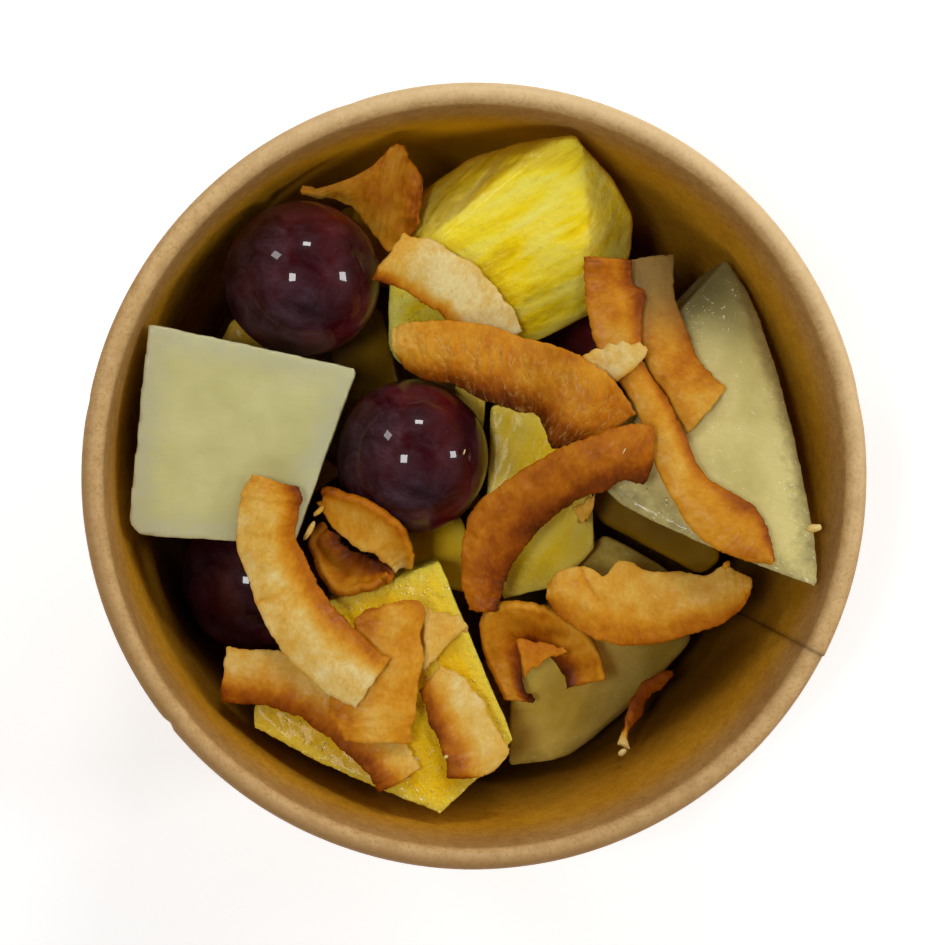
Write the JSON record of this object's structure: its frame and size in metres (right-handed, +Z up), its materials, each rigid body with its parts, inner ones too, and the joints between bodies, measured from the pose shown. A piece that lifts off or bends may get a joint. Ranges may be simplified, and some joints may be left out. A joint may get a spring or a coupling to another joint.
{
  "type": "fruit salad",
  "caption": "Fruit salad of melon and pineapple chunks with whole dark grapes and toasted coconut chips in a round tapered kraft paper pot.",
  "frame": {"origin": "centre of the foot ring's underside, on the pot's axis", "axes": "+Z up along the pot's axis to the rim, +X right and +Y away from the viewer as the salad is seen from above"},
  "size_m": [0.115, 0.115, 0.07],
  "materials": {
    "kraft_board": "matte",
    "melon_flesh": "gloss",
    "pineapple_flesh": "gloss",
    "grape_skin": "gloss",
    "coconut_toasted": "matte",
    "fruit_heap": "matte"
  },
  "bodies": {
    "root": {"bowl": "kraft_board", "chip_01": "coconut_toasted", "chip_02": "coconut_toasted", "chip_03": "coconut_toasted", "chip_04": "coconut_toasted", "chip_05": "coconut_toasted", "chip_06": "coconut_toasted", "chip_07": "coconut_toasted", "chip_08": "coconut_toasted", "chip_09": "coconut_toasted", "chip_10": "coconut_toasted", "chip_10b": "coconut_toasted", "chip_11": "coconut_toasted", "chip_12": "coconut_toasted", "chip_13": "coconut_toasted", "chip_14": "coconut_toasted", "chip_15": "coconut_toasted", "chip_16": "coconut_toasted", "chip_17": "coconut_toasted", "chip_18": "coconut_toasted", "fruit_core": "fruit_heap", "grape_back": "grape_skin", "grape_deep": "grape_skin", "grape_left": "grape_skin", "grape_middle": "grape_skin", "melon_front": "melon_flesh", "melon_left": "melon_flesh", "melon_low": "melon_flesh", "melon_notch": "melon_flesh", "melon_right": "melon_flesh", "melon_side": "melon_flesh", "pineapple_back": "pineapple_flesh", "pineapple_front": "pineapple_flesh", "pineapple_low": "pineapple_flesh", "pineapple_middle": "pineapple_flesh", "pineapple_small": "pineapple_flesh"}
  },
  "joints": []
}
